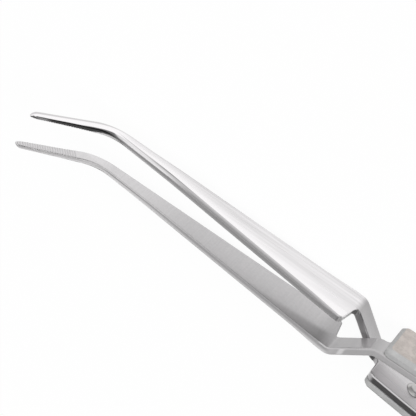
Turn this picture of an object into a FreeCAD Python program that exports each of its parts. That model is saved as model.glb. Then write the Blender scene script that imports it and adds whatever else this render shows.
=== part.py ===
import FreeCAD, Part

import math
import os

from FreeCAD import Vector

# Insulated self-closing soldering tweezers with bent, serrated tips, in millimetres.
# They lie on the far edges of their arms, as they come to rest on a bench, with the tips curving up.
# +X runs from the tips to the welded rear end, +Y is the way the jaws open, +Z is up from the bench.
# Two steel strips are joined face to face at the rear and cross, side by side, behind the jaws,
# so squeezing the handles parts the jaws. The strips are mirror images in side view, and each
# is notched at the crossing on the side where the other one passes.
# The fold behind the jaws is near x = 0 while the pieces are made, and all are centred at the end.

# Strip
STRIP_THICKNESS = 1.5
STRIP_WIDTH = 9.5
EDGE_CHAMFER = 0.22

# Jaws, seen square to the strip's face
JAW_REAR_X = -1.2
JAW_LENGTH = 52.7
JAW_FAR_TAPER = 3.62
WAIST_LENGTH = 13.9
WAIST_WIDTH = 3.76
WAIST_RISE = -2.8
JAW_BEVEL = 0.5
JAW_INNER_EDGE = 0.12
HALF_GAP = 2.93
JAW_SPREAD = 0.4

# Tips, bent in the plane of the strip's face
TIP_ANGLE = 41.1
TIP_LENGTH = 16.2
TIP_ROOT_WIDTH = 2.1
TIP_END_WIDTH = 1.3
TIP_END_THICKNESS = 0.9
TIP_END_ROUND = 1.6
TIP_INSIDE_RADIUS = 8.0
TIP_OUTSIDE_RADIUS = 10.5

# Serrations across the inner faces of the tips
SERRATION_LENGTH = 12.2
SERRATION_PITCH = 0.5
SERRATION_WIDTH = 0.32
SERRATION_DEPTH = 0.17

# Crossing
NECK_WIDTH = 4.3
NECK_ANGLE = 41.0
NECK_FOLD_X = 0.6
FOLD_INSIDE_RADIUS = 1.2
NOTCH_SLANT = 9.0
NOTCH_CORNER_RADIUS = 1.0
NOTCH_TIP_RADIUS = 0.95
SHOULDER_X = 9.3
SHOULDER_RADIUS = 1.3

# Handles
HANDLE_HALF_HEIGHT = 3.12
HANDLE_OPENING = 4.7
BOW_RADIUS = 340.0
REAR_CURVE_RADIUS = 120.0
TAB_LENGTH = 10.0
TAB_CORNER_RADIUS = 2.6
WELD_DIAMETER = 2.6
WELD_DEPTH = 0.12
WELD_SPACING = 4.6

# Insulating grip plates and their rivets
GRIP_LENGTH = 62.0
GRIP_THICKNESS = 1.7
GRIP_CHAMFER = 0.7
RIVET_INSET = 8.5
RIVET_DIAMETER = 2.4
RIVET_FIT = 0.02
RIVET_HEAD_DIAMETER = 4.6
RIVET_HEAD_HEIGHT = 0.7
RIVET_HEAD_CHAMFER = 0.4
RIVET_TAIL_DIAMETER = 3.6
RIVET_TAIL_HEIGHT = 0.6
RIVET_SEAT = 0.02

# Extra reach of a cutting tool past what it cuts
REACH = 3.0
# Below this, a length or the slope of a face counts as nothing
TINY = 1e-4
# Where the jaw is cut across for its loft, as shares of its straight parts
JAW_SHARES = (0, 0.16, 0.94)
WAIST_SHARES = (0.04, 0.55)
BEND_STEPS = 10
TIP_STEPS = 3
TIP_END_SHARES = (0.4, 0.75, 0.95)
# How much of the tip's thinning is done where its bend starts, and where it ends
BEND_START_SHARE = 0.2
BEND_END_SHARE = 0.35
# How far the round of the tip's back reaches, as shares of its width and thickness
TIP_ROUND_ACROSS = 0.4
TIP_ROUND_BACK = 0.4


def tan_deg(angle):
    return math.tan(math.radians(angle))


def sin_deg(angle):
    return math.sin(math.radians(angle))


def cos_deg(angle):
    return math.cos(math.radians(angle))


def blend(a, b, share):
    return a + (b - a) * share


def inner_face(x):
    """Distance of a jaw's inner face from the middle plane: the jaws spread towards the tips."""
    return HALF_GAP + max(JAW_REAR_X - x, 0) * tan_deg(JAW_SPREAD)


class StripPath:
    """The side view of a bent strip, drawn as straight runs and bends along its inner jaw face."""

    def __init__(self, x, y):
        self.point = Vector(x, y, 0)
        self.heading = 0.0
        self.edges = {0.0: [], -STRIP_THICKNESS: []}

    def normal(self, heading):
        return Vector(-sin_deg(heading), cos_deg(heading), 0)

    def run(self, length):
        end = self.point + Vector(cos_deg(self.heading), sin_deg(self.heading), 0) * length
        for offset, edges in self.edges.items():
            shift = self.normal(self.heading) * offset
            edges.append(Part.LineSegment(self.point + shift, end + shift).toShape())
        self.point = end

    def bend(self, radius, turn):
        """Turns by so many degrees, upwards when positive, and gives back the bend's centre."""
        side = 1 if turn > 0 else -1
        centre = self.point + self.normal(self.heading) * (radius * side)
        headings = [self.heading, self.heading + turn / 2, self.heading + turn]
        for offset, edges in self.edges.items():
            rim = [centre - self.normal(h) * (radius * side - offset) for h in headings]
            edges.append(Part.Arc(*rim).toShape())
        self.heading = headings[-1]
        self.point = centre - self.normal(self.heading) * (radius * side)
        return centre

    def face(self):
        seen, hidden = self.edges.values()
        front = Part.LineSegment(hidden[0].Vertexes[0].Point, seen[0].Vertexes[0].Point).toShape()
        rear = Part.LineSegment(seen[-1].Vertexes[-1].Point, hidden[-1].Vertexes[-1].Point).toShape()
        return Part.Face(Part.Wire(Part.__sortEdges__(seen + hidden + [front, rear])))


def handle_path():
    """The side view of the lower jaw's strip, from the rear of the jaw to the rear end."""
    path = StripPath(JAW_REAR_X, -HALF_GAP)
    bend_back = NECK_ANGLE - HANDLE_OPENING
    outside_radius = FOLD_INSIDE_RADIUS + STRIP_THICKNESS
    # Both folds are rounded inside their corners, so each run is shorter by the fold's tangent.
    cut_up = FOLD_INSIDE_RADIUS * tan_deg(NECK_ANGLE / 2)
    cut_back = outside_radius * tan_deg(bend_back / 2)
    neck_length = (HALF_GAP + HANDLE_HALF_HEIGHT) / sin_deg(NECK_ANGLE)
    path.run(NECK_FOLD_X - JAW_REAR_X - cut_up)
    path.bend(FOLD_INSIDE_RADIUS, NECK_ANGLE)
    path.run(neck_length - cut_up - cut_back)
    path.bend(outside_radius, -bend_back)
    path.run((SHOULDER_X - path.point.x) / cos_deg(HANDLE_OPENING))
    # The bow falls from the shoulder until the rear curve lays the strip on the middle plane.
    fall = path.point.y - STRIP_THICKNESS
    height_left = BOW_RADIUS * cos_deg(HANDLE_OPENING) + REAR_CURVE_RADIUS - fall
    fall_angle = math.degrees(math.acos(height_left / (BOW_RADIUS + REAR_CURVE_RADIUS)))
    path.bow_start = path.point
    path.bow_centre = path.bend(BOW_RADIUS, -(HANDLE_OPENING + fall_angle))
    path.bow_end_angle = fall_angle
    path.bend(REAR_CURVE_RADIUS, fall_angle)
    path.tab_x = path.point.x
    path.run(TAB_LENGTH)
    return path


PATH = handle_path()
REAR_X = PATH.point.x


def rounded_outline(corners):
    """A closed face in the XZ plane from (x, z, radius) corners, each rounded by its radius."""
    points = [Vector(x, 0, z) for x, z, radius in corners]
    edges, ends = [], []
    for i, (x, z, radius) in enumerate(corners):
        before = (points[i - 1] - points[i]).normalize()
        after = (points[(i + 1) % len(points)] - points[i]).normalize()
        half_angle = before.getAngle(after) / 2
        tangent = radius / math.tan(half_angle)
        ends.append((points[i] + before * tangent, points[i] + after * tangent))
        if radius:
            inwards = (before + after).normalize()
            middle = points[i] + inwards * (radius / math.sin(half_angle) - radius)
            edges.append(Part.Arc(ends[i][0], middle, ends[i][1]).toShape())
    for i in range(len(ends)):
        edges.append(Part.LineSegment(ends[i - 1][1], ends[i][0]).toShape())
    return Part.Face(Part.Wire(Part.__sortEdges__(edges)))


def through_side_view(outline):
    """The outline as a block that reaches through everything in the side view."""
    bow_rise = BOW_RADIUS * (1 - cos_deg(HANDLE_OPENING))
    reach = HALF_GAP + HANDLE_HALF_HEIGHT + bow_rise + GRIP_THICKNESS + REACH
    outline.translate(Vector(0, -reach, 0))
    return outline.extrude(Vector(0, 2 * reach, 0))


def strip_outline():
    """The blank behind the jaw with its neck on the far side: notch, shoulder and rounded end."""
    notch_x = NECK_FOLD_X - (STRIP_WIDTH - NECK_WIDTH) * tan_deg(NOTCH_SLANT)
    return rounded_outline([
        (JAW_REAR_X, 0, 0),
        (JAW_REAR_X, STRIP_WIDTH, 0),
        (notch_x, STRIP_WIDTH, NOTCH_TIP_RADIUS),
        (NECK_FOLD_X, NECK_WIDTH, NOTCH_CORNER_RADIUS),
        (SHOULDER_X, NECK_WIDTH, NOTCH_CORNER_RADIUS),
        (SHOULDER_X, STRIP_WIDTH, SHOULDER_RADIUS),
        (REAR_X, STRIP_WIDTH, TAB_CORNER_RADIUS),
        (REAR_X, 0, TAB_CORNER_RADIUS)])


def rim_edges(solid):
    """The edges between a strip's two faces and its cut edges, apart from the join to the jaw."""
    rims = []
    for edge in solid.Edges:
        if edge.BoundBox.XMax < JAW_REAR_X + TINY:
            continue
        kinds = set()
        for face in solid.ancestorsOfType(edge, Part.Face):
            normal = face.normalAt(*face.Surface.parameter(edge.CenterOfMass))
            kinds.add("cut" if abs(normal.y) < TINY else "rolled")
        if len(kinds) == 2:
            rims.append(edge)
    return rims


def folded_strip():
    """The strip behind the jaw, with its neck on the far side."""
    bar = PATH.face().extrude(Vector(0, 0, STRIP_WIDTH))
    strip = bar.common(through_side_view(strip_outline())).Solids[0]
    return strip.makeChamfer(EDGE_CHAMFER, rim_edges(strip))


class JawPlan:
    """The jaw's outline square to its face, as pairs of points on its far and near edges."""

    def __init__(self):
        straight = JAW_LENGTH - WAIST_LENGTH
        self.near_slope = (STRIP_WIDTH - WAIST_WIDTH) / straight - tan_deg(JAW_FAR_TAPER)
        waist_x = JAW_REAR_X - straight
        waist_z = self.near_line(waist_x)
        corner_x = JAW_REAR_X - JAW_LENGTH
        self.corner = Vector(corner_x, 0, waist_z + (waist_x - corner_x) * tan_deg(WAIST_RISE))
        self.waist_x, self.waist_z = waist_x, waist_z
        # The far edge of the tip lies the root width away from the near edge at the corner.
        self.along = Vector(-cos_deg(TIP_ANGLE), 0, sin_deg(TIP_ANGLE))
        self.across = Vector(-sin_deg(TIP_ANGLE), 0, -cos_deg(TIP_ANGLE))
        far_root = self.corner + self.across * TIP_ROOT_WIDTH
        # Where the far edge's straight part and the tip's far edge would meet, and the arc's centre
        rise = far_root.z - self.far_line(far_root.x)
        slope = tan_deg(TIP_ANGLE) - tan_deg(JAW_FAR_TAPER)
        meet_x = far_root.x + rise / slope
        turn = TIP_ANGLE - JAW_FAR_TAPER
        start_x = meet_x + TIP_OUTSIDE_RADIUS * tan_deg(turn / 2) * cos_deg(JAW_FAR_TAPER)
        self.arc_start_x = start_x
        start = Vector(start_x, 0, self.far_line(start_x))
        self.far_centre = start - self.outwards(JAW_FAR_TAPER) * TIP_OUTSIDE_RADIUS
        turn = TIP_ANGLE - WAIST_RISE
        back = TIP_INSIDE_RADIUS * tan_deg(turn / 2)
        start = self.corner + Vector(cos_deg(WAIST_RISE), 0, -sin_deg(WAIST_RISE)) * back
        self.near_centre = start - self.outwards(WAIST_RISE) * TIP_INSIDE_RADIUS

    def far_line(self, x):
        return (JAW_REAR_X - x) * tan_deg(JAW_FAR_TAPER)

    def near_line(self, x):
        return STRIP_WIDTH - (JAW_REAR_X - x) * self.near_slope

    def outwards(self, angle):
        """Away from the near side, square to an edge that rises towards the tip by the angle."""
        return Vector(-sin_deg(angle), 0, -cos_deg(angle))

    def straight(self, x):
        near = self.near_line(x)
        if x < self.waist_x:
            near = self.waist_z + (self.waist_x - x) * tan_deg(WAIST_RISE)
        return Vector(x, 0, self.far_line(x)), Vector(x, 0, near)

    def bend(self, share):
        far_angle = blend(JAW_FAR_TAPER, TIP_ANGLE, share)
        near_angle = blend(WAIST_RISE, TIP_ANGLE, share)
        far = self.far_centre + self.outwards(far_angle) * TIP_OUTSIDE_RADIUS
        near = self.near_centre + self.outwards(near_angle) * TIP_INSIDE_RADIUS
        return far, near

    def tip(self, distance):
        """The pair of edge points so far along the tip from the corner."""
        width = blend(TIP_ROOT_WIDTH, TIP_END_WIDTH, distance / TIP_LENGTH)
        middle = self.corner + self.across * (TIP_ROOT_WIDTH / 2) + self.along * distance
        return middle + self.across * (width / 2), middle - self.across * (width / 2)


PLAN = JawPlan()


def corner_curve(a, corner, b, roundness):
    """An edge from a to b: a straight bevel at roundness 0, and a round inside the corner at 1."""
    chord_middle = (a + b) * 0.5
    curve = Part.BezierCurve()
    curve.setPoles([a, chord_middle + (corner - chord_middle) * roundness, b])
    return curve.toShape()


def jaw_section(far, near, thickness, inner_edge, bevel_in, bevel_back, roundness):
    """The jaw cut across: flat inner face, bevelled inner corners, and bevelled or round outer ones.

    bevel_in reaches across the outer face and bevel_back down the sides.
    """
    across = near - far
    width = across.Length
    across.normalize()

    def spot(u, depth):
        point = far + across * u
        return Vector(point.x, -inner_face(point.x) - depth, point.z)

    def side_points(u, side):
        inner = [spot(u + side * inner_edge, 0), spot(u, inner_edge)]
        outer = [spot(u, thickness - bevel_back), spot(u, thickness), spot(u + side * bevel_in, thickness)]
        return inner, outer

    (near_in, near_out), (far_in, far_out) = side_points(width, -1), side_points(0, 1)
    return Part.Wire([
        Part.LineSegment(far_in[0], near_in[0]).toShape(),
        Part.LineSegment(near_in[0], near_in[1]).toShape(),
        Part.LineSegment(near_in[1], near_out[0]).toShape(),
        corner_curve(*near_out, roundness),
        Part.LineSegment(near_out[2], far_out[2]).toShape(),
        corner_curve(*reversed(far_out), roundness),
        Part.LineSegment(far_out[0], far_in[1]).toShape(),
        Part.LineSegment(far_in[1], far_in[0]).toShape()])


def tip_end_share(distance):
    """How far the tip's rounded end has closed in: 1 at its start and small at the very end."""
    into = max(0, distance - (TIP_LENGTH - TIP_END_ROUND)) / TIP_END_ROUND
    return math.sqrt(1 - into * into)


def jaw_stations():
    """Pairs of edge points along the jaw, each with how much of the tip's thinning is done there."""
    stations = [(PLAN.straight(blend(JAW_REAR_X, PLAN.waist_x, share)), 0) for share in JAW_SHARES]
    for share in WAIST_SHARES:
        pair = PLAN.straight(blend(PLAN.waist_x, PLAN.arc_start_x, share))
        stations.append((pair, share * BEND_START_SHARE))
    for i in range(BEND_STEPS + 1):
        share = i / BEND_STEPS
        stations.append((PLAN.bend(share), blend(BEND_START_SHARE, BEND_END_SHARE, share)))
    bend_end = (PLAN.bend(1)[1] - PLAN.corner).Length
    last_straight = TIP_LENGTH - TIP_END_ROUND
    for i in range(1, TIP_STEPS + 1):
        share = i / TIP_STEPS
        stations.append((PLAN.tip(blend(bend_end, last_straight, share)), blend(BEND_END_SHARE, 1, share)))
    for share in TIP_END_SHARES:
        distance = blend(last_straight, TIP_LENGTH, share)
        far, near = PLAN.tip(distance)
        middle = (far + near) * 0.5
        closed = tip_end_share(distance)
        stations.append(((middle + (far - middle) * closed, middle + (near - middle) * closed), 1))
    return stations


def plain_jaw():
    """The jaw and tip of the lower strip without serrations, lofted along the plan."""
    sections = []
    for i, ((far, near), tip_share) in enumerate(jaw_stations()):
        width = (near - far).Length
        if i == 0:
            shape = (STRIP_THICKNESS, EDGE_CHAMFER, EDGE_CHAMFER, EDGE_CHAMFER, 0)
        else:
            roundness = min(1, tip_share / BEND_END_SHARE)
            thickness = blend(STRIP_THICKNESS, TIP_END_THICKNESS, tip_share) * min(1, width / TIP_END_WIDTH)
            inner_edge = JAW_INNER_EDGE * min(1, width / TIP_END_WIDTH)
            bevel_in = blend(JAW_BEVEL, TIP_ROUND_ACROSS * width, roundness)
            bevel_back = blend(JAW_BEVEL, TIP_ROUND_BACK * thickness, roundness)
            shape = (thickness, inner_edge, bevel_in, bevel_back, roundness)
        sections.append(jaw_section(far, near, *shape))
    return Part.makeLoft(sections, True, True)


def serrations():
    """V-shaped cuts square across the inner face of the lower tip."""
    cuts = []
    past_tip = PLAN.across * TIP_ROOT_WIDTH
    # Each cutter is a wedge twice as deep as its groove, so that it stands out of the face.
    flank = PLAN.along * SERRATION_WIDTH
    for i in range(int(SERRATION_LENGTH / SERRATION_PITCH)):
        far, near = PLAN.tip(TIP_LENGTH - SERRATION_PITCH * (i + 1))
        middle = (far + near) * 0.5
        on_face = Vector(middle.x, -inner_face(middle.x), middle.z) + past_tip
        depth = Vector(0, SERRATION_DEPTH, 0)
        root = on_face - depth
        wedge = Part.makePolygon([root, on_face + depth + flank, on_face + depth - flank, root])
        cuts.append(Part.Face(wedge).extrude(past_tip * -2))
    return Part.makeCompound(cuts)


def upside_down(shape):
    """The mirror image in the middle plane, which turns a lower piece into an upper one."""
    return shape.mirror(Vector(0, 0, 0), Vector(0, 1, 0))


def side_swapped(shape):
    """The mirror image that moves a neck from the far side to the near side."""
    return shape.mirror(Vector(0, 0, STRIP_WIDTH / 2), Vector(0, 0, 1))


def bow_angle(x):
    """Lean of the handle's outer face at x, from the bow's centre."""
    return math.degrees(math.asin((x - PATH.bow_centre.x) / BOW_RADIUS))


def on_handle(shape, x):
    """Stands a shape made at the origin, with +Y outwards, on the middle of the handle's outer face."""
    angle = bow_angle(x)
    shape.rotate(Vector(0, 0, 0), Vector(0, 0, 1), -angle)
    outwards = Vector(sin_deg(angle), cos_deg(angle), 0)
    shape.translate(PATH.bow_centre + outwards * BOW_RADIUS + Vector(0, 0, STRIP_WIDTH / 2))
    return shape


def rivet():
    """A flat-headed rivet with its head on the grip plate and its closed tail inside the strip."""
    shank, head, tail = RIVET_DIAMETER / 2, RIVET_HEAD_DIAMETER / 2, RIVET_TAIL_DIAMETER / 2
    head_y = GRIP_THICKNESS + RIVET_SEAT
    head_top = head_y + RIVET_HEAD_HEIGHT
    tail_y = -STRIP_THICKNESS - RIVET_SEAT
    tail_top = tail_y - RIVET_TAIL_HEIGHT
    half = Part.makePolygon([Vector(radius, y, 0) for radius, y in (
        (0, tail_top),
        (shank, tail_top),
        (tail, tail_y),
        (shank, tail_y),
        (shank, head_y),
        (head, head_y),
        (head, head_top - RIVET_HEAD_CHAMFER),
        (head - RIVET_HEAD_CHAMFER, head_top),
        (0, head_top),
        (0, tail_top))])
    return Part.Face(half).revolve(Vector(0, 0, 0), Vector(0, 1, 0), 360)


def rivet_hole():
    reach = STRIP_THICKNESS + GRIP_THICKNESS
    radius = RIVET_DIAMETER / 2 + RIVET_FIT
    return Part.makeCylinder(radius, 2 * reach, Vector(0, -reach, 0), Vector(0, 1, 0))


RIVET_X = {"front": SHOULDER_X + RIVET_INSET, "rear": SHOULDER_X + GRIP_LENGTH - RIVET_INSET}


def spot_weld(x):
    """The dimple that a welding electrode leaves on the outer face of the tab."""
    base = Vector(x, STRIP_THICKNESS - WELD_DEPTH, STRIP_WIDTH / 2)
    return Part.makeCylinder(WELD_DIAMETER / 2, REACH, base, Vector(0, 1, 0))


def handle_cuts():
    holes = [on_handle(rivet_hole(), x) for x in RIVET_X.values()]
    tab_middle = (PATH.tab_x + REAR_X) / 2
    welds = [spot_weld(tab_middle + side * WELD_SPACING / 2) for side in (-1, 1)]
    return Part.makeCompound(holes + welds)


def grip_plate():
    """The insulating plate of the upper handle, bent to the handle's bow and flush with its shoulder."""
    ends = (SHOULDER_X, SHOULDER_X + GRIP_LENGTH)
    side_view = StripPath(0, 0)
    side_view.edges = {0.0: [], GRIP_THICKNESS: []}
    side_view.point = PATH.bow_start
    side_view.heading = HANDLE_OPENING
    side_view.bend(BOW_RADIUS, -(HANDLE_OPENING + PATH.bow_end_angle))
    bar = side_view.face().extrude(Vector(0, 0, STRIP_WIDTH))
    outline = rounded_outline([
        (ends[0], 0, SHOULDER_RADIUS), (ends[0], STRIP_WIDTH, SHOULDER_RADIUS),
        (ends[1], STRIP_WIDTH, SHOULDER_RADIUS), (ends[1], 0, SHOULDER_RADIUS)])
    plate = bar.common(through_side_view(outline)).Solids[0]
    outer = max(plate.Faces, key=lambda face: face.Area * (face.CenterOfMass.y > plate.CenterOfMass.y))
    plate = plate.makeChamfer(GRIP_CHAMFER, outer.Edges)
    return plate.cut(Part.makeCompound([on_handle(rivet_hole(), x) for x in RIVET_X.values()]))


def build_pieces():
    """Every piece by its node's name, with the fold behind the jaws near x = 0."""
    jaw = plain_jaw().cut(serrations())
    rear = folded_strip()
    lower_arm = jaw.fuse(side_swapped(rear).cut(handle_cuts())).Solids[0]
    upper_arm = upside_down(jaw.fuse(rear.cut(handle_cuts())).Solids[0])
    plate = grip_plate()
    pieces = {
        "lower_jaw_arm": lower_arm,
        "upper_jaw_arm": upper_arm,
        "upper_grip_plate": plate,
        "lower_grip_plate": upside_down(plate)}
    for place, x in RIVET_X.items():
        pieces[f"upper_grip_{place}_rivet"] = on_handle(rivet(), x)
        pieces[f"lower_grip_{place}_rivet"] = upside_down(on_handle(rivet(), x))
    return pieces


def centred(pieces):
    """Moves the pieces so that the origin is under the middle of the whole, on the bench."""
    box = Part.makeCompound(list(pieces.values())).optimalBoundingBox(False)
    shift = Vector(-(box.XMin + box.XMax) / 2, -(box.YMin + box.YMax) / 2, -box.ZMin)
    return {name: shape.translated(shift) for name, shape in pieces.items()}


os.makedirs("parts", exist_ok=True)
for name, piece in centred(build_pieces()).items():
    piece.exportStep(f"parts/{name}.step")
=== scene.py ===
import math

import bpy
from mathutils import Matrix, Vector


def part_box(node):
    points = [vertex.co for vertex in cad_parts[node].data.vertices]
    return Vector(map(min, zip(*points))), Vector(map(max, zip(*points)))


# Self-closing soldering tweezers: brushed and polished steel arms, insulating grip plates, rivets.
# The jaws point to -X and open along Y. Lengths are in metres, and in the materials in millimetres.

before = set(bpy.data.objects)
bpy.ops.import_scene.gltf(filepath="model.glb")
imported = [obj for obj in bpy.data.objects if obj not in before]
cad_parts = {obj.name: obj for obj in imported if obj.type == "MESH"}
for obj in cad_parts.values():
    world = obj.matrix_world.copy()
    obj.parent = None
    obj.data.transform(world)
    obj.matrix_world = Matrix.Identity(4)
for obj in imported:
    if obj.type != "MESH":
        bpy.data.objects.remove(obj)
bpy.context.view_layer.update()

MM = 0.001

# Where the upper grip plate's front edge and the jaws' rear ends are, in millimetres
GRIP_FRONT_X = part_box("upper_grip_plate")[0][0] / MM
JAW_REAR_X = GRIP_FRONT_X - 10.5

# Camera, as in the photograph, aimed at a place in front of the upper grip plate's front edge
CAMERA_AIM = Vector((GRIP_FRONT_X - 41.35, 2.155, 3.895)) * MM
CAMERA_DISTANCE = 448.9 * MM
CAMERA_AZIMUTH = 78.8
CAMERA_ELEVATION = 53.13
CAMERA_ROLL = -134.36
CAMERA_LENS = 213.0
CAMERA_SENSOR = 36.0
CAMERA_CLIP_START = 0.01

# Floor: white, and mostly a bright even white where the camera or a reflection sees it
FLOOR_SIZE = 6.0
FLOOR_WHITE = 0.93
FLOOR_ROUGHNESS = 0.9
FLOOR_EVEN_SHARE = 0.95

# Light: a pale sky with two soft dark patches, which the sides of the strips reflect, and a soft lamp
SKY_BRIGHT = 1.0
SKY_DARK = 0.05
DARK_PATCHES = ({"azimuth": -60.8, "elevation": 37.6, "core": 24.0, "reach": 62.0},
                {"azimuth": 0.0, "elevation": 22.0, "core": 29.0, "reach": 48.0})
LAMP_AZIMUTH = 18.0
LAMP_ELEVATION = 38.0
LAMP_STRENGTH = 1.8
LAMP_ANGLE = 40.0

# The arms' sizes, in millimetres, with slopes as rise over run
STRIP_WIDTH = 9.5
STRIP_THICKNESS = 1.5
HALF_GAP = 2.93
SPREAD_SLOPE = 0.00698
FAR_EDGE_SLOPE = 0.0633
NEAR_EDGE_SLOPE = 0.0846
WAIST_EDGE = 8.115
WAIST_EDGE_SLOPE = 0.0489
JAW_BEVEL = 0.5
TIP_START = 52.7
TIP_START_Z = 5.53
TIP_ANGLE = 41.1
TIP_LENGTH = 16.2
TIP_WIDTH = 2.1
TIP_END_WIDTH = 1.3
FAR_BEND_BLEND = 3.3
SERRATION_PITCH = 0.5
SERRATED_LENGTH = 12.2

# How far the edges of all pieces look rounded, in millimetres
EDGE_SOFTNESS = 0.25
EDGE_SAMPLES = 8

# The side on which an arm has its jaw, as the sign of Y
UPPER = 1
LOWER = -1

# In the values of the steel below, a pair is for the start of a change and for its end.
# Tones go from 0 for black to 1, a gain is added to a tone, and a dim is the share taken off it.
# Places along an arm are in millimetres ahead of its jaw's rear, behind it, or out from the tip's bend,
# and heights are in millimetres above the bench.
# Widths are shares from the jaw's far edge, and depths are shares from the strip's inner face.
# A turn is how far a face looks outwards, towards the near side or to the rear: 1 is straight that way.

# Stretches of an arm
ON_JAW_AHEAD = (-0.6, 0.6)
OFF_JAW_BEHIND = (1.2, 2.8)
ON_TIP_AHEAD = (TIP_START - 3.9, TIP_START + 0.7)

# Kinds of face
OUTER_TURN = (0.72, 0.97)
INNER_TURN = (-0.72, -0.97)
CUT_SIDE_TURN = (0.5, 0.2)
NEAR_SIDE_TURN = (0.3, 0.7)
SLANT_START_TURN = (0.15, 0.5)
SLANT_END_TURN = (0.97, 0.85)
FACET_TURN = (0.1, 0.4)
INNER_EDGE_TURN = (0.0, -0.3)

# Brushing: lines drawn out along the strip, and how fine they are across it
LINE_ALONG = 0.035
LINE_THROUGH = 0.3
BROAD_FINENESS = 0.8
STREAK_FINENESS = 2.4
SCRATCH_FINENESS = 7.0
SCRATCH_RELIEF = 0.004
# Grain across the strip, and speckle
GRAIN_STRETCH = (5.0, 1.0, 0.12)
SPECKLE_FINENESS = 2.2

# Outer face of the jaw: streaky grey on its far part, near white on its near part; the grey and the
# white are painted reflection, the streaks its brushing
OUTER_AHEAD = (18.0, 42.0)
OUTER_FAR = (0.815, 0.695)
OUTER_NEAR = 1.0
OUTER_WHITE_START_WIDTH = (0.42, 0.08)
OUTER_WHITE_END_WIDTH = (0.95, 0.78)
OUTER_BRUSHING = (0.28, 0.26, 0.14)
OUTER_WHITE_BRUSHING = 0.3

# Inner face of the jaw: satin, with painted light that grows towards the front and onto the tip, and
# painted shade along its near edge and, on the lower jaw, at its rear
INNER_AHEAD = (30.0, 47.0)
INNER = (0.585, 0.70)
INNER_TIP_GAIN = 0.08
INNER_GRAIN = 0.12
INNER_SPECKLE = 0.12
INNER_NEAR_WIDTH = (0.86, 1.02)
INNER_NEAR_SHADE_DIM = 0.05
INNER_REAR_BEHIND = (-3.0, 0.5)
INNER_REAR_SHADE_DIM = 0.18

# Patch at the rear of the lower jaw's inner face, where the other jaw shades it
PATCH_WIDTH = (0.50, 0.70)
PATCH_WIDTH_SLOPE = 0.022
PATCH_LENGTH = 24.0
PATCH_BEHIND = (1.5, -1.0)
PATCH_SHADE_DIM = 0.36

# Inner edge of the jaw and of the tip, and the grooves across the tip, in shares of their pitch
# These are painted dark reflection on the jaw's inner edge and the tip's edge, darkest near its end, and
# painted shade on the grooves' flanks
INNER_EDGE_AHEAD = (10.0, 40.0)
INNER_EDGE = (0.36, 0.60)
GROOVE_FLANK = (0.34, 0.08)
GROOVE_SHADE_DIM = 0.20
GROOVE = 0.64
TIP_EDGE_INSIDE = (0.35, 0.12)
TIP_EDGE_OUT = (TIP_LENGTH - 3.5, TIP_LENGTH - 0.8)
TIP_EDGE = (0.55, 0.14)

# Near side of the jaw: on the upper one the mirrored dark of the sky over a painted dark grey, with a
# lighter inner rim as painted highlight; on the lower one a painted light grey, with a dark line as
# painted reflection
NEAR_SIDE_AHEAD = (28.0, 48.0)
NEAR_SIDE_GRAIN = 0.04
UPPER_NEAR_SIDE = 0.50
UPPER_RIM_DEPTH = (0.40, 0.10)
UPPER_RIM_GAIN = (0.12, 0.40)
LOWER_NEAR_SIDE_DEPTH = (0.22, 0.82)
LOWER_NEAR_SIDE_BY_INNER = (0.38, 0.66)
LOWER_NEAR_SIDE_BY_OUTER = (0.78, 0.95)
LOWER_LINE_DEPTH = 0.2
LOWER_LINE_REACH = (0.14, 0.02)
LOWER_LINE_TIP_FADE = 0.6
LOWER_LINE_DIM = 0.46

# Facet between the near side and the outer face, a painted grey reflection, with a painted dark line
# where it meets the outer face
FACET_AHEAD = (33.0, 42.0)
FACET_DEPTH = (0.66, 1.0)
FACET_BY_SIDE = (0.29, 0.84)
FACET_BY_OUTER = (0.58, 0.48)
FACET_GRAIN = 0.06
FACET_LINE_AHEAD = (30.0, 40.0)
FACET_LINE_TURN = (0.3, 0.6)
FACET_LINE_REACH = (0.14, 0.03)
FACET_LINE_DIM = 0.38

# Far side of the jaw
FAR_SIDE = 0.58
FAR_SIDE_STREAKS = 0.2

# Rear end of the jaw: painted shade, darkest in the corner where the neck or leg leaves it, and its two
# edges, the outer one a painted highlight and the inner one painted shade
JAW_END_START_BEHIND = (-1.5, -0.5)
JAW_END_STOP_BEHIND = (3.0, 2.4)
JAW_END_TURN = (0.12, 0.4)
JAW_END_FROM_CORNER = (0.2, 4.0)
JAW_END = (0.10, 0.36)
NOTCH_FROM_CORNER = (-0.5, -0.2)
END_EDGE_TURN = (0.35, 0.6)
END_OUTER_EDGE_TURN = (0.4, 0.6)
END_INNER_EDGE_TURN = (-0.4, -0.6)
JAW_END_OUTER_EDGE = 0.85
JAW_END_INNER_EDGE = 0.28

# Behind the jaw: the upper arm's leg, the lower arm's neck and fold, and both handles
# Painted light and shade on the leg, neck and fold, their edges and near sides: a leg darker towards its
# far edge, a highlight at the fold, shade past it, and a glint on the lower neck's near side
LEG_BEHIND = (2.0, 8.0)
LEG = (0.45, 0.50)
LEG_FAR_HEIGHT = (4.3, 0.5)
LEG_FAR_SHADE_DIM = 0.12
NECK_TO_FOLD_BEHIND = (5.2, 7.6)
NECK_TO_FOLD = (0.46, 0.66)
PAST_FOLD_BEHIND = (7.7, 8.5)
PAST_FOLD = 0.42
CROSSING_GRAIN = 0.05
CROSSING_SPECKLE = 0.06
HANDLE_BEHIND = (7.0, 14.0)
HANDLE = 0.70
HANDLE_BRUSHING = (0.10, 0.12, 0.14)
CROSSING_SIDE_BEHIND = (1.5, 4.5)
CROSSING_SIDE = {UPPER: (0.85, 0.42), LOWER: (0.60, 0.48)}
CROSSING_EDGE = {UPPER: 0.62, LOWER: 0.51}
NECK_GLINT_BEHIND = 4.15
NECK_GLINT_REACH = (0.7, 0.15)
NECK_GLINT_GAIN = 0.26

# Polish of the tips: over the upper one's back and near side, and over the lower one's back only
POLISHED_TURN = {UPPER: (-0.6, -0.35), LOWER: (0.3, 0.6)}

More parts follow.
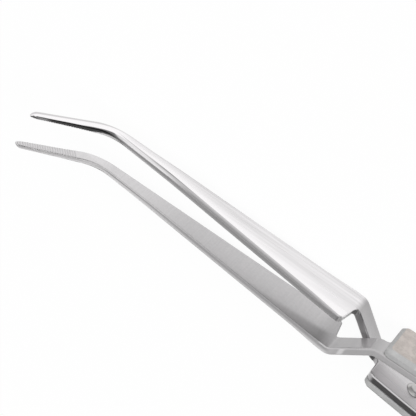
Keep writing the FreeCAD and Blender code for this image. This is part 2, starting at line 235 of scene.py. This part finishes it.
# Back of the tip: white with a soft grey outline, and a grey wedge of the facet in the bend, the outline
# and the wedge painted reflection
TIP_BACK = 0.98
OUTLINE_INSIDE = (JAW_BEVEL + 0.38, JAW_BEVEL + 0.16)
OUTLINE_DIM = 0.34
WEDGE_TURN = (0.95, 0.80)
WEDGE_NEAR_TURN = (0.2, 0.4)
WEDGE_OUT = (1.6, 0.2)
WEDGE = 0.60

# Side of the tip: it mirrors the dark of the sky, and its bevel and end carry a painted dark reflection
BAND_SOFTNESS = (0.06, -0.06)
TIP_SIDE_NEAR_TURN = (0.35, 0.50)
TIP_SIDE_REAR_TURN = (-0.3, 0.1)
TIP_SIDE_DEPTH = 0.62
TIP_SIDE_BEND_EXTRA = 0.28
TIP_SIDE_TAPER_OUT = (TIP_LENGTH - 8.0, TIP_LENGTH - 0.5)
TIP_SIDE_TAPER = 0.24
BEND_START_OUT = (-1.3, 0.8)
BEND_STOP_OUT = (8.0, 1.0)
TIP_BEVEL_TURN = (0.05, 0.25)
TIP_END_OUT = (TIP_LENGTH - 4.2, TIP_LENGTH - 0.8)
TIP_SIDE = 1.0
TIP_BEVEL = 0.15
TIP_SIDE_END = 0.13

# Rim of the tip's near side along its inner face: not polished, and running out past the bend
TIP_RIM_AHEAD = (TIP_START + 5.5, TIP_START + 0.5)
TIP_RIM_DEPTH = (-0.08, 0.34)
TIP_RIM = 0.66

# Colour and gloss of the steel
DARKEST = 0.02
STEEL_TINT = (1.0, 0.982, 0.992, 1)
# Less metallic on the ground near sides, the lower arm's most, so that their painted light and shade
# show as they are
GROUND_METALLIC = {UPPER: 0.7, LOWER: 0.2}
# Nearly matte on the jaw's end, the tip's end and the tip's rim, so that the painted shade of the ends
# shows as it is
DARK_MATTE = 0.9
BRUSHED_ROUGHNESS = 0.30
STREAKS_ROUGHNESS = 0.15
SATIN_ROUGHNESS = 0.38
GROUND_ROUGHNESS = 0.34
GRAIN_ROUGHNESS = 0.10
POLISHED_ROUGHNESS = 0.10
LEAST_ROUGHNESS = 0.06

# Grip plates, with the darker and the lighter colour of their mottling
FIBRE_FACE = ((0.435, 0.395, 0.37, 1), (0.565, 0.515, 0.485, 1))
FIBRE_BEVEL = ((0.40, 0.40, 0.40, 1), (0.47, 0.47, 0.47, 1))
FIBRE_FACE_TURN = (0.82, 0.99)
FIBRE_MOTTLING = (0.36, 0.64)
FIBRE_CLOUDS = 0.6
FIBRE_FLECKS = 0.4
CLOUD_FINENESS = 0.55
FLECK_FINENESS = 2.4
FIBRE_ROUGHNESS = 0.6
FIBRE_RELIEF = 0.03

# Rivets
RIVET_TONES = ((0.60, 0.60, 0.60, 1), (0.74, 0.73, 0.71, 1))
RIVET_TONE_FINENESS = 1.2
SCUFF_STRETCH = (1.0, 1.0, 6.0)
SCUFF_FINENESS = 2.0
RIVET_ROUGHNESS = 0.22
SCUFF_ROUGHNESS = 0.2
SCUFF_RELIEF = 0.006


def direction(azimuth, elevation):
    """The unit vector that points to an azimuth and an elevation, both in degrees."""
    around = math.radians(azimuth)
    up = math.radians(elevation)
    return Vector((math.cos(around) * math.cos(up), math.sin(around) * math.cos(up), math.sin(up)))


def grey(level):
    return (level, level, level, 1.0)


class Value:
    """A number that varies over a surface. Arithmetic on it adds Math nodes."""

    def __init__(self, nodes, socket):
        self.nodes = nodes
        self.socket = socket

    def __add__(self, other):
        return self.nodes.math("ADD", self, other)

    def __radd__(self, other):
        return self.nodes.math("ADD", self, other)

    def __sub__(self, other):
        return self.nodes.math("SUBTRACT", self, other)

    def __rsub__(self, other):
        return self.nodes.math("SUBTRACT", other, self)

    def __mul__(self, other):
        return self.nodes.math("MULTIPLY", self, other)

    def __rmul__(self, other):
        return self.nodes.math("MULTIPLY", self, other)

    def __truediv__(self, other):
        return self.nodes.math("DIVIDE", self, other)

    def clamped(self):
        return self.nodes.math("ADD", self, 0, use_clamp=True)


class Nodes:
    """The nodes of a material or of the sky."""

    def __init__(self, tree):
        self.tree = tree

    def node(self, kind, settings=None, **inputs):
        node = self.tree.nodes.new(kind)
        for name, value in (settings or {}).items():
            setattr(node, name, value)
        for name, value in inputs.items():
            self.feed(node.inputs[name.replace("_", " ")], value)
        return node

    def feed(self, socket, value):
        if isinstance(value, Value):
            value = value.socket
        if isinstance(value, bpy.types.NodeSocket):
            self.tree.links.new(value, socket)
        else:
            socket.default_value = value

    def math(self, operation, *values, use_clamp=False):
        node = self.node("ShaderNodeMath", {"operation": operation, "use_clamp": use_clamp})
        for socket, value in zip(node.inputs, values):
            self.feed(socket, value)
        return Value(self, node.outputs[0])

    def vector(self, operation, *values, **inputs):
        node = self.node("ShaderNodeVectorMath", {"operation": operation}, **inputs)
        for socket, value in zip(node.inputs, values):
            self.feed(socket, value)
        return node.outputs["Vector"]

    def parts(self, vector):
        node = self.node("ShaderNodeSeparateXYZ", Vector=vector)
        return [Value(self, socket) for socket in node.outputs]

    def joined(self, x, y, z):
        node = self.node("ShaderNodeCombineXYZ", X=x, Y=y, Z=z)
        return node.outputs[0]

    def noise(self, vector, scale, detail=3.0, roughness=0.55):
        node = self.node("ShaderNodeTexNoise",
                         Vector=vector, Scale=scale, Detail=detail, Roughness=roughness)
        return Value(self, node.outputs[0])

    def ramp(self, value, low, high, to_low=0.0, to_high=1.0):
        """Goes smoothly from to_low to to_high as the value goes from low to high."""
        node = self.node("ShaderNodeMapRange", {"interpolation_type": "SMOOTHSTEP"})
        ends = {"From Min": low, "From Max": high, "To Min": to_low, "To Max": to_high}
        for name, number in ends.items():
            node.inputs[name].default_value = number
        self.feed(node.inputs["Value"], value)
        return Value(self, node.outputs[0])

    def close_to(self, value, place, reach, core):
        """1 where the value is within core of the place, and 0 beyond its reach."""
        return self.ramp(self.math("ABSOLUTE", value - place), reach, core)

    def between(self, share, a, b):
        """Number a where share is 0 and number b where it is 1."""
        return a + share * (b - a)

    def mix(self, share, a, b):
        """Colour a where share is 0 and colour b where it is 1."""
        node = self.node("ShaderNodeMix", {"data_type": "RGBA"})
        colour_sockets = [socket for socket in node.inputs if socket.type == "RGBA"]
        self.feed(node.inputs[0], share)
        self.feed(colour_sockets[0], a)
        self.feed(colour_sockets[1], b)
        return next(socket for socket in node.outputs if socket.type == "RGBA")


class Finish(Nodes):
    """A material, with the place on the surface in millimetres and the piece's own normal at hand."""

    def __init__(self, name):
        self.material = bpy.data.materials.new(name)
        self.material.use_nodes = True
        super().__init__(self.material.node_tree)
        self.shader = self.tree.nodes["Principled BSDF"]
        coordinates = self.node("ShaderNodeTexCoord")
        self.place = self.vector("SCALE", coordinates.outputs["Object"], Scale=1 / MM)
        self.x, self.y, self.z = self.parts(self.place)
        self.nx, self.ny, self.nz = self.parts(coordinates.outputs["Normal"])

    def stretched(self, factors):
        """The place, with each axis scaled by its own factor."""
        return self.vector("MULTIPLY", self.place, factors)

    def set(self, **inputs):
        for name, value in inputs.items():
            self.feed(self.shader.inputs[name.replace("_", " ")], value)

    def bump(self, height, depth):
        """Relief of so many millimetres from a height that runs from 0 to 1, over softened edges."""
        soft = self.node("ShaderNodeBevel", {"samples": EDGE_SAMPLES}, Radius=EDGE_SOFTNESS * MM)
        node = self.node("ShaderNodeBump", Height=height, Distance=depth * MM, Strength=1.0,
                         Normal=soft.outputs[0])
        self.set(Normal=node.outputs[0])


class ArmSteel(Finish):
    """Stainless strip: brushed outside, satin inside, polished at the tips, ground along its sides; its
    tones carry painted reflections, highlights and shade.
    """

    def __init__(self, name, jaw_side):
        super().__init__(name)
        self.jaw_side = jaw_side
        self.find_jaw()
        self.find_tip()
        self.find_faces()
        self.find_jaw_end()
        self.find_polish()
        self.find_brushing()

    def find_jaw(self):
        """How far ahead of the jaw's rear a point is, how far across the jaw, and how deep in it."""
        self.ahead = JAW_REAR_X - self.x
        self.behind = self.x - JAW_REAR_X
        along_jaw = self.math("MAXIMUM", self.ahead, 0)
        far_edge = along_jaw * FAR_EDGE_SLOPE
        near_edge = self.math("MAXIMUM", STRIP_WIDTH - self.ahead * NEAR_EDGE_SLOPE,
                              WAIST_EDGE - self.ahead * WAIST_EDGE_SLOPE)
        self.over_far_edge = self.z - far_edge
        self.under_near_edge = near_edge - self.z
        self.across = self.over_far_edge / self.math("MAXIMUM", near_edge - far_edge, TIP_WIDTH)
        inner_face = HALF_GAP + along_jaw * SPREAD_SLOPE
        self.depth = (self.y * self.jaw_side - inner_face) / STRIP_THICKNESS
        self.on_jaw = self.ramp(self.ahead, *ON_JAW_AHEAD)
        self.off_jaw = self.ramp(self.behind, *OFF_JAW_BEHIND)

    def find_tip(self):
        """How far out from the bend a point is, and how far inside the tip's near and far edges."""
        self.on_tip = self.ramp(self.ahead, *ON_TIP_AHEAD)
        turn = math.radians(TIP_ANGLE)
        past = self.ahead - TIP_START
        above = self.z - TIP_START_Z
        self.tip_out = past * math.cos(turn) + above * math.sin(turn)
        tip_width = TIP_WIDTH - self.tip_out * ((TIP_WIDTH - TIP_END_WIDTH) / TIP_LENGTH)
        from_near_root = past * math.sin(turn) - above * math.cos(turn)
        self.from_near_edge = from_near_root - (TIP_WIDTH - tip_width) * 0.5
        self.from_far_edge = self.math("SMOOTH_MIN", (TIP_WIDTH + tip_width) * 0.5 - from_near_root,
                                       self.over_far_edge, FAR_BEND_BLEND)

    def find_faces(self):
        """Which of the strip's faces a point is on."""
        self.outwards = self.ny * self.jaw_side
        self.outer = self.ramp(self.outwards, *OUTER_TURN)
        self.inner = self.ramp(self.outwards, *INNER_TURN)
        self.cut_side = self.ramp(self.math("ABSOLUTE", self.outwards), *CUT_SIDE_TURN)
        self.near_side = self.cut_side * self.ramp(self.nz, *NEAR_SIDE_TURN)
        self.slanted = self.ramp(self.nz, *SLANT_START_TURN) * self.ramp(self.nz, *SLANT_END_TURN)
        self.facet = self.slanted * self.ramp(self.outwards, *FACET_TURN) * self.on_jaw
        self.inner_edge = self.slanted * self.ramp(self.outwards, *INNER_EDGE_TURN) * self.on_jaw

    def find_jaw_end(self):
        """The jaw's rear end, its edges, and how far up from its corner a point is."""
        at_end = self.ramp(self.behind, *JAW_END_START_BEHIND)
        at_end = at_end * self.ramp(self.behind, *JAW_END_STOP_BEHIND)
        self.jaw_end = self.cut_side * self.ramp(self.nx, *JAW_END_TURN) * at_end
        self.over_corner = self.z - STRIP_WIDTH * 0.5
        in_notch = self.ramp(self.over_corner * self.jaw_side, *NOTCH_FROM_CORNER)
        self.end_edge = self.ramp(self.nx, *END_EDGE_TURN) * at_end * in_notch

    def find_polish(self):
        """The polished part of the tip with its side, bevel and end, and the unpolished rim."""
        rim_depth = self.ramp(self.ahead, *TIP_RIM_AHEAD, *TIP_RIM_DEPTH)
        self.rim = self.ramp(self.depth - rim_depth, *BAND_SOFTNESS) * self.near_side * self.on_tip
        turned = self.ramp(self.outwards, *POLISHED_TURN[self.jaw_side])
        self.polished = self.on_tip * turned * (1 - self.rim)
        self.tip_bevel = self.ramp(self.outwards, *TIP_BEVEL_TURN)
        self.in_bend = self.ramp(self.tip_out, *BEND_START_OUT) * self.ramp(self.tip_out, *BEND_STOP_OUT)
        taper = self.ramp(self.tip_out, *TIP_SIDE_TAPER_OUT) * TIP_SIDE_TAPER
        side_depth = TIP_SIDE_DEPTH + self.in_bend * TIP_SIDE_BEND_EXTRA - taper
        side = self.ramp(self.nz, *TIP_SIDE_NEAR_TURN) * self.ramp(self.nx, *TIP_SIDE_REAR_TURN)
        self.tip_side = side * self.ramp(self.depth - side_depth, *BAND_SOFTNESS)
        self.tip_end = self.ramp(self.tip_out, *TIP_END_OUT) * self.tip_side

    def find_brushing(self):
        """Brushing along the strip, grain across it, and speckle, each from -0.5 to 0.5."""
        lines = self.joined(self.x * LINE_ALONG, self.over_far_edge, self.y * LINE_THROUGH)
        self.broad = self.noise(lines, BROAD_FINENESS, detail=2.0) - 0.5
        self.streaks = self.noise(lines, STREAK_FINENESS, detail=2.0) - 0.5
        self.scratches = self.noise(lines, SCRATCH_FINENESS) - 0.5
        self.grain = self.noise(self.stretched(GRAIN_STRETCH), 1.0) - 0.5
        self.speckle = self.noise(self.place, SPECKLE_FINENESS, roughness=0.6) - 0.5

    def brushing(self, broad, streaks, scratches):
        return self.broad * broad + self.streaks * streaks + self.scratches * scratches

    def outer_level(self):
        # Painted reflection: grey on the far part of the face, white on its near part, with the
        # brushing's streaks over both
        to_front = self.ramp(self.ahead, *OUTER_AHEAD)
        start = self.between(to_front, *OUTER_WHITE_START_WIDTH)
        end = self.between(to_front, *OUTER_WHITE_END_WIDTH)
        painted_white = self.ramp((self.across - start) / (end - start), 0.0, 1.0)
        brushing = self.brushing(*OUTER_BRUSHING)
        far_level = self.between(to_front, *OUTER_FAR) + brushing
        return self.between(painted_white, far_level, OUTER_NEAR + brushing * OUTER_WHITE_BRUSHING)

    def grooves(self):
        """1 at the bottom of each groove across the tip's inner face, and 0 between the grooves."""
        turn = self.math("FRACT", (self.tip_out - TIP_LENGTH) / SERRATION_PITCH + 0.5)
        groove = self.close_to(turn, 0.5, *GROOVE_FLANK)
        return groove * self.math("GREATER_THAN", self.tip_out, TIP_LENGTH - SERRATED_LENGTH)

    def inner_level(self):
        # Painted light: lighter towards the front and on the tip
        level = self.between(self.ramp(self.ahead, *INNER_AHEAD), *INNER)
        level = level + self.on_tip * INNER_TIP_GAIN
        level = level + self.grain * INNER_GRAIN + self.speckle * INNER_SPECKLE
        # Painted shade along the near edge
        level = level * (1 - self.ramp(self.across, *INNER_NEAR_WIDTH) * INNER_NEAR_SHADE_DIM)
        if self.jaw_side == LOWER:
            # Painted shade: the patch where the other jaw shades it, and the jaw's rear
            patch = self.ramp(self.across - self.ahead * PATCH_WIDTH_SLOPE, *PATCH_WIDTH)
            dim = self.math("MAXIMUM", PATCH_SHADE_DIM * (1 - self.ahead / PATCH_LENGTH), 0)
            dim = dim * self.ramp(self.behind, *PATCH_BEHIND)
            level = level * (1 - patch * dim)
            level = level * (1 - self.ramp(self.behind, *INNER_REAR_BEHIND) * INNER_REAR_SHADE_DIM)
        # Painted shade in the grooves
        return level * (1 - self.grooves() * GROOVE_SHADE_DIM)

    def inner_edge_level(self):
        """The jaw's inner edge, and on the tip the flanks of the grooves and the edge by them, as
        painted dark reflection on the edges and painted shade on the flanks.
        """
        jaw_level = self.between(self.ramp(self.ahead, *INNER_EDGE_AHEAD), *INNER_EDGE)
        edge = self.ramp(self.from_near_edge, *TIP_EDGE_INSIDE)
        edge_level = self.ramp(self.tip_out, *TIP_EDGE_OUT, *TIP_EDGE)
        return self.between(self.on_tip, jaw_level, self.between(edge, GROOVE, edge_level))

    def near_side_level(self):
        # Painted tones of the near side: dark grey with a lighter rim on the upper jaw, light grey with
        # a dark line on the lower jaw
        to_front = self.ramp(self.ahead, *NEAR_SIDE_AHEAD)
        if self.jaw_side == UPPER:
            rim = self.ramp(self.depth, *UPPER_RIM_DEPTH)
            return UPPER_NEAR_SIDE + rim * self.between(to_front, *UPPER_RIM_GAIN)
        by_inner = self.between(to_front, *LOWER_NEAR_SIDE_BY_INNER)
        by_outer = self.between(to_front, *LOWER_NEAR_SIDE_BY_OUTER)
        level = self.between(self.ramp(self.depth, *LOWER_NEAR_SIDE_DEPTH), by_inner, by_outer)
        line = self.close_to(self.depth, LOWER_LINE_DEPTH, *LOWER_LINE_REACH)
        line = line * to_front * (1 - self.on_tip * LOWER_LINE_TIP_FADE)
        return level * (1 - line * LOWER_LINE_DIM)

    def facet_level(self):
        # Painted grey reflection of the facet
        to_front = self.ramp(self.ahead, *FACET_AHEAD)
        by_side = self.between(to_front, *FACET_BY_SIDE)
        by_outer = self.between(to_front, *FACET_BY_OUTER)
        return self.between(self.ramp(self.depth, *FACET_DEPTH), by_side, by_outer)

    def jaw_level(self):
        level = FAR_SIDE + self.streaks * FAR_SIDE_STREAKS
        near_side_level = self.near_side_level() + self.grain * NEAR_SIDE_GRAIN
        level = self.between(self.near_side, level, near_side_level)
        level = self.between(self.facet, level, self.facet_level() + self.grain * FACET_GRAIN)
        level = self.between(self.inner, level, self.inner_level())
        level = self.between(self.outer, level, self.outer_level())
        # Painted dark line where the facet meets the outer face
        line = self.close_to(self.under_near_edge, JAW_BEVEL, *FACET_LINE_REACH)
        line = line * self.ramp(self.ahead, *FACET_LINE_AHEAD)
        line = line * self.ramp(self.outwards, *FACET_LINE_TURN)
        return level * (1 - line * FACET_LINE_DIM)

    def crossing_level(self):
        """The leg, or the neck and the fold, and the handle, with painted light and shade on all but the
        handle's face.
        """
        if self.jaw_side == UPPER:
            level = self.ramp(self.behind, *LEG_BEHIND, *LEG)
            level = level * (1 - self.ramp(self.z, *LEG_FAR_HEIGHT) * LEG_FAR_SHADE_DIM)
        else:
            level = self.ramp(self.behind, *NECK_TO_FOLD_BEHIND, *NECK_TO_FOLD)
            level = self.between(self.ramp(self.behind, *PAST_FOLD_BEHIND), level, PAST_FOLD)
        level = level + self.grain * CROSSING_GRAIN + self.speckle * CROSSING_SPECKLE
        handle_level = HANDLE + self.brushing(*HANDLE_BRUSHING)
        level = self.between(self.ramp(self.behind, *HANDLE_BEHIND), level, handle_level)
        level = self.between(self.slanted, level, CROSSING_EDGE[self.jaw_side])
        side_level = self.ramp(self.behind, *CROSSING_SIDE_BEHIND, *CROSSING_SIDE[self.jaw_side])
        if self.jaw_side == LOWER:
            glint = self.close_to(self.behind, NECK_GLINT_BEHIND, *NECK_GLINT_REACH)
            side_level = side_level + glint * NECK_GLINT_GAIN
        return self.between(self.near_side, level, side_level + self.grain * CROSSING_GRAIN)

    def over_jaw_end(self, level):
        """The tone given, with the jaw's rear end in painted shade and the end's edges over it: a
        painted highlight on the outer edge and painted shade on the inner edge.
        """
        from_corner = self.math("ABSOLUTE", self.over_corner)
        end_level = self.ramp(from_corner, *JAW_END_FROM_CORNER, *JAW_END)
        level = self.between(self.jaw_end, level, end_level)
        outer_edge = self.end_edge * self.ramp(self.outwards, *END_OUTER_EDGE_TURN)
        level = self.between(outer_edge, level, JAW_END_OUTER_EDGE)
        inner_edge = self.end_edge * self.ramp(self.outwards, *END_INNER_EDGE_TURN)
        return self.between(inner_edge, level, JAW_END_INNER_EDGE)

    def tip_back_level(self):
        # Painted reflection: a grey outline along the far edge and a grey wedge in the bend
        outline = self.ramp(self.from_far_edge, *OUTLINE_INSIDE)
        level = TIP_BACK * (1 - outline * OUTLINE_DIM)
        wedge = self.tip_bevel * self.ramp(self.outwards, *WEDGE_TURN)
        wedge = wedge * self.ramp(self.nz, *WEDGE_NEAR_TURN)
        wedge = wedge * self.ramp(self.tip_out, *WEDGE_OUT)
        return self.between(wedge, level, WEDGE)

    def over_tip(self, level):
        """The tone given, with the polished tip and its rim over it."""
        # The tip's side is a mirror; its bevel and its end, and on the upper tip its bevel in the bend,
        # are painted dark reflection
        side_level = self.between(self.tip_bevel, TIP_SIDE, TIP_BEVEL)
        side_level = self.between(self.tip_end, side_level, TIP_SIDE_END)
        tip_level = self.between(self.tip_side, self.tip_back_level(), side_level)
        level = self.between(self.polished, level, tip_level)
        if self.jaw_side == UPPER:
            level = self.between(self.tip_side * self.tip_bevel * self.in_bend, level, TIP_BEVEL)
        return self.between(self.rim, level, TIP_RIM)

    def matte(self):
        """How far the surface shows its tone as set, with its painted light and shade, instead of a
        reflection.
        """
        matte = self.near_side * (1 - self.polished) * (1 - GROUND_METALLIC[self.jaw_side])
        matte = self.math("MAXIMUM", matte, self.tip_end * self.polished * DARK_MATTE)
        if self.jaw_side == UPPER:
            matte = matte * (1 - self.off_jaw)
        end_or_rim = self.math("MAXIMUM", self.jaw_end, self.rim)
        return self.math("MAXIMUM", matte, end_or_rim * DARK_MATTE)

    def roughness(self):
        level = BRUSHED_ROUGHNESS + self.streaks * STREAKS_ROUGHNESS
        level = self.between(self.inner, level, SATIN_ROUGHNESS + self.grain * GRAIN_ROUGHNESS)
        level = self.between(self.near_side, level, GROUND_ROUGHNESS + self.grain * GRAIN_ROUGHNESS)
        level = self.between(self.polished, level, POLISHED_ROUGHNESS)
        return self.math("MAXIMUM", level, LEAST_ROUGHNESS)

    def make(self):
        level = self.between(self.off_jaw, self.jaw_level(), self.crossing_level())
        level = self.over_jaw_end(level)
        level = self.between(self.inner_edge, level, self.inner_edge_level())
        level = self.over_tip(level)
        level = self.math("MINIMUM", self.math("MAXIMUM", level, DARKEST), 1.0)
        self.set(Base_Color=self.mix(level, grey(0), STEEL_TINT), Metallic=1 - self.matte())
        self.set(Roughness=self.roughness())
        self.bump((self.scratches + 0.5) * (1 - self.on_tip), SCRATCH_RELIEF)
        return self.material


def fibre(name):
    """Grey insulating fibre plate: a mottled, slightly warm face with a neutral bevel all round."""
    finish = Finish(name)
    face = finish.ramp(finish.ny * finish.math("SIGN", finish.y), *FIBRE_FACE_TURN)
    clouds = finish.noise(finish.place, CLOUD_FINENESS, roughness=0.6)
    flecks = finish.noise(finish.place, FLECK_FINENESS, detail=4.0, roughness=0.65)
    mottling = finish.ramp(clouds * FIBRE_CLOUDS + flecks * FIBRE_FLECKS, *FIBRE_MOTTLING)
    face_colour = finish.mix(mottling, *FIBRE_FACE)
    bevel_colour = finish.mix(mottling, *FIBRE_BEVEL)
    finish.set(Base_Color=finish.mix(face, bevel_colour, face_colour), Roughness=FIBRE_ROUGHNESS)
    finish.bump(flecks, FIBRE_RELIEF)
    return finish.material


def rivet_metal(name):
    """Nickel-plated rivet with a little handling wear."""
    finish = Finish(name)
    tone = finish.noise(finish.place, RIVET_TONE_FINENESS)
    scuffs = finish.noise(finish.stretched(SCUFF_STRETCH), SCUFF_FINENESS, detail=4.0, roughness=0.7)
    finish.set(Base_Color=finish.mix(tone, *RIVET_TONES), Metallic=1.0)
    finish.set(Roughness=RIVET_ROUGHNESS + scuffs * SCUFF_ROUGHNESS)
    finish.bump(scuffs, SCUFF_RELIEF)
    return finish.material


def dress(node, material):
    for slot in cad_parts[node].material_slots:
        slot.material = material


dress("lower_jaw_arm", ArmSteel("lower_jaw_steel", LOWER).make())
dress("upper_jaw_arm", ArmSteel("upper_jaw_steel", UPPER).make())
for side in ("upper", "lower"):
    dress(f"{side}_grip_plate", fibre(f"{side}_grip_fibre"))
    for place in ("front", "rear"):
        dress(f"{side}_grip_{place}_rivet", rivet_metal(f"{side}_{place}_rivet_metal"))


def make_floor():
    mesh = bpy.data.meshes.new("floor")
    half = FLOOR_SIZE / 2
    corners = [(-half, -half, 0), (half, -half, 0), (half, half, 0), (-half, half, 0)]
    mesh.from_pydata(corners, [], [(0, 1, 2, 3)])
    floor = bpy.data.objects.new("floor", mesh)
    bpy.context.scene.collection.objects.link(floor)
    finish = Finish("floor_white")
    finish.set(Base_Color=grey(FLOOR_WHITE), Roughness=FLOOR_ROUGHNESS)
    rays = finish.node("ShaderNodeLightPath").outputs
    seen = Value(finish, rays["Is Camera Ray"]) + Value(finish, rays["Is Glossy Ray"])
    seen = (seen + Value(finish, rays["Is Transmission Ray"])).clamped() * FLOOR_EVEN_SHARE
    even = finish.node("ShaderNodeEmission", Color=grey(1), Strength=1.0)
    both = finish.node("ShaderNodeMixShader")
    finish.feed(both.inputs[0], seen)
    finish.feed(both.inputs[1], finish.shader.outputs[0])
    finish.feed(both.inputs[2], even.outputs[0])
    finish.feed(finish.tree.nodes["Material Output"].inputs["Surface"], both.outputs[0])
    mesh.materials.append(finish.material)


def make_sky():
    world = bpy.data.worlds.new("studio")
    bpy.context.scene.world = world
    world.use_nodes = True
    sky = Nodes(world.node_tree)
    towards = sky.node("ShaderNodeTexCoord").outputs["Generated"]
    light = 1.0
    for patch in DARK_PATCHES:
        facing = sky.node("ShaderNodeVectorMath", {"operation": "DOT_PRODUCT"})
        sky.feed(facing.inputs[0], towards)
        sky.feed(facing.inputs[1], direction(patch["azimuth"], patch["elevation"]))
        edge, core = [math.cos(math.radians(patch[name])) for name in ("reach", "core")]
        light = sky.ramp(facing.outputs["Value"], edge, core, 1.0, 0.0) * light
    level = sky.between(light, SKY_DARK, SKY_BRIGHT)
    background = world.node_tree.nodes["Background"]
    sky.feed(background.inputs["Color"], sky.mix(level, grey(0), grey(1)))
    background.inputs["Strength"].default_value = 1.0


def make_lamp():
    lamp_data = bpy.data.lights.new("soft_lamp", "SUN")
    lamp_data.energy = LAMP_STRENGTH
    lamp_data.angle = math.radians(LAMP_ANGLE)
    lamp = bpy.data.objects.new("soft_lamp", lamp_data)
    lamp.rotation_euler = direction(LAMP_AZIMUTH, LAMP_ELEVATION).to_track_quat("Z", "Y").to_euler()
    lamp.visible_glossy = False
    bpy.context.scene.collection.objects.link(lamp)


def make_camera():
    camera_data = bpy.data.cameras.new("camera")
    camera_data.lens = CAMERA_LENS
    camera_data.sensor_width = CAMERA_SENSOR
    camera_data.clip_start = CAMERA_CLIP_START
    camera = bpy.data.objects.new("camera", camera_data)
    bpy.context.scene.collection.objects.link(camera)
    back = direction(CAMERA_AZIMUTH, CAMERA_ELEVATION)
    level_right = Vector((0, 0, 1)).cross(back).normalized()
    level_up = back.cross(level_right)
    turn = math.radians(CAMERA_ROLL)
    right = level_right * math.cos(turn) + level_up * math.sin(turn)
    up = back.cross(right)
    turned = Matrix((right, up, back)).transposed().to_4x4()
    camera.matrix_world = Matrix.Translation(CAMERA_AIM + back * CAMERA_DISTANCE) @ turned
    bpy.context.scene.camera = camera


make_floor()
make_sky()
make_lamp()
make_camera()

bpy.context.scene.view_settings.view_transform = "Standard"
